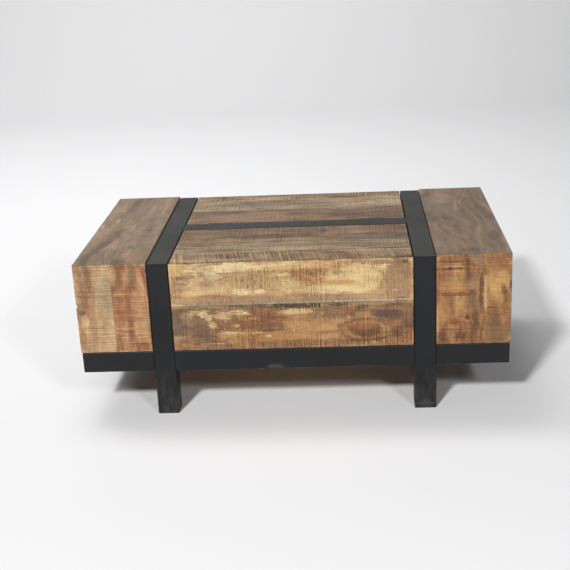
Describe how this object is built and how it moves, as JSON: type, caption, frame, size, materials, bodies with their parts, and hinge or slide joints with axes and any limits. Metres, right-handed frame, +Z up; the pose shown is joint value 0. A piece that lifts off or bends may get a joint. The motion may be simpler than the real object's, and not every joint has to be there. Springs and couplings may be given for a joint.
{
  "type": "storage chest",
  "caption": "Low timber storage chest in a black square-tube steel frame, with fixed end blocks and two top lids hinged on a bar along the middle.",
  "frame": {"origin": "on the floor, under the middle of the chest", "axes": "+X along the length towards the right end, +Y towards the rear, +Z up"},
  "size_m": [1, 0.6, 0.378],
  "materials": {
    "black_steel": "satin black powder coat, scuffed at the feet",
    "hinge_steel": "black oxide",
    "zinc_screws": "zinc plated",
    "foot_plastic": "matt black",
    "top_wood": "weathered, rough sawn, waxed",
    "panel_wood": "rough sawn with pale and dark streaks, waxed",
    "end_wood": "rough sawn, waxed",
    "inner_timber": "planed, unfinished",
    "inner_panel": "sanded plywood"
  },
  "bodies": {
    "chest": {"block_battens": "inner_timber", "centre_bar": "black_steel", "corner_posts": "inner_timber", "fixing_tabs": "black_steel", "floor_panel": "inner_panel", "foot_plugs": "foot_plastic", "front_hinge_fixed_leaves": "hinge_steel", "front_lower_board": "panel_wood", "front_rail_centre": "black_steel", "front_rail_left": "black_steel", "front_rail_right": "black_steel", "front_upper_board": "panel_wood", "hinge_pins": "hinge_steel", "left_block_floor": "inner_panel", "left_cross_rail": "black_steel", "left_end_lower_board": "end_wood", "left_end_rail": "black_steel", "left_end_upper_board": "end_wood", "left_front_inner_board": "end_wood", "left_front_leg": "black_steel", "left_front_outer_board": "end_wood", "left_hoop_top": "black_steel", "left_rear_inner_board": "end_wood", "left_rear_leg": "black_steel", "left_rear_outer_board": "end_wood", "left_side_wall": "inner_panel", "left_top_board": "top_wood", "rear_hinge_fixed_leaves": "hinge_steel", "rear_lower_board": "panel_wood", "rear_rail_centre": "black_steel", "rear_rail_left": "black_steel", "rear_rail_right": "black_steel", "rear_upper_board": "panel_wood", "right_block_floor": "inner_panel", "right_cross_rail": "black_steel", "right_end_lower_board": "end_wood", "right_end_rail": "black_steel", "right_end_upper_board": "end_wood", "right_front_inner_board": "end_wood", "right_front_leg": "black_steel", "right_front_outer_board": "end_wood", "right_hoop_top": "black_steel", "right_rear_inner_board": "end_wood", "right_rear_leg": "black_steel", "right_rear_outer_board": "end_wood", "right_side_wall": "inner_panel", "right_top_board": "top_wood", "tab_screws": "zinc_screws"},
    "front_lid": {"front_hinge_lid_leaves": "hinge_steel", "front_hinge_screws": "zinc_screws", "front_lid_battens": "inner_timber", "front_lid_inner_plank": "top_wood", "front_lid_middle_plank": "top_wood", "front_lid_outer_plank": "top_wood"},
    "rear_lid": {"rear_hinge_lid_leaves": "hinge_steel", "rear_hinge_screws": "zinc_screws", "rear_lid_battens": "inner_timber", "rear_lid_inner_plank": "top_wood", "rear_lid_middle_plank": "top_wood", "rear_lid_outer_plank": "top_wood"}
  },
  "joints": [
    {"name": "front_lid_hinge", "type": "hinge", "parent": "chest", "child": "front_lid", "pos_m": [0, -0.0273, 0.3735], "axis": [-1, 0, 0], "range_deg": [0, 94]},
    {"name": "rear_lid_hinge", "type": "hinge", "parent": "chest", "child": "rear_lid", "pos_m": [0, 0.0273, 0.3735], "axis": [1, 0, 0], "range_deg": [0, 94]}
  ]
}
